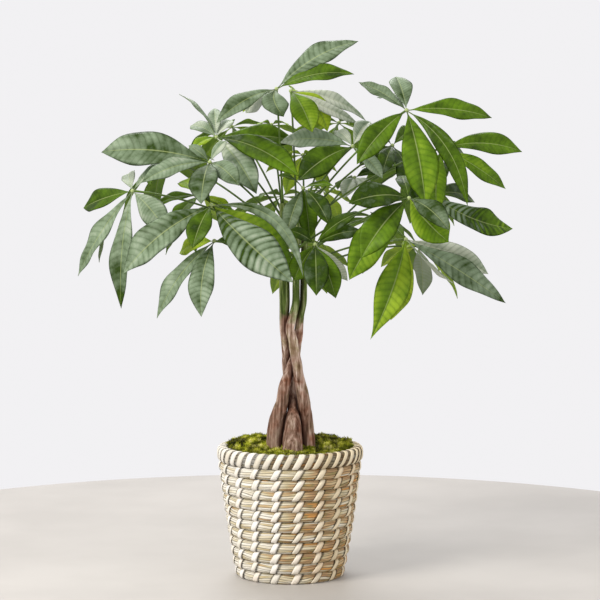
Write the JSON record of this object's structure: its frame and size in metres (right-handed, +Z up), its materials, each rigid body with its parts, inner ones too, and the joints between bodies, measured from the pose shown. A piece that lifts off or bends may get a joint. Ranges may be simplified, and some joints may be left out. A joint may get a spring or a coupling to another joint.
{
  "type": "potted money tree",
  "caption": "Money tree with braided stems and palmate leaves, moss over the soil, in a tapered basket of coiled seagrass bound with pale straps.",
  "frame": {"origin": "centre of the basket's flat underside", "axes": "+Z up, -Y towards the plant's front, +X to the right seen from the front"},
  "size_m": [0.5406, 0.3948, 0.6561],
  "materials": {
    "seagrass": "matt coiled seagrass with pale straps",
    "grow_pot": "satin black",
    "soil": "loose, matt",
    "moss": "soft, matt",
    "stem": "bark, matt",
    "leaf": "waxy, half gloss"
  },
  "bodies": {
    "root": {"basket": "seagrass", "nursery_pot": "grow_pot", "soil": "soil", "moss": "moss", "stem_left": "stem", "stem_middle": "stem", "stem_right": "stem", "leaf_01": "leaf", "leaf_02": "leaf", "leaf_03": "leaf", "leaf_04": "leaf", "leaf_05": "leaf", "leaf_06": "leaf", "leaf_07": "leaf", "leaf_08": "leaf", "leaf_09": "leaf", "leaf_10": "leaf", "leaf_11": "leaf", "leaf_12": "leaf", "leaf_13": "leaf", "leaf_14": "leaf", "leaf_15": "leaf", "leaf_16": "leaf", "leaf_17": "leaf", "leaf_18": "leaf", "leaf_19": "leaf", "leaf_20": "leaf", "leaf_21": "leaf", "leaf_22": "leaf", "leaf_23": "leaf", "leaf_24": "leaf", "leaf_25": "leaf", "leaf_26": "leaf", "leaf_27": "leaf", "leaf_28": "leaf", "leaf_29": "leaf", "leaf_30": "leaf"}
  },
  "joints": []
}
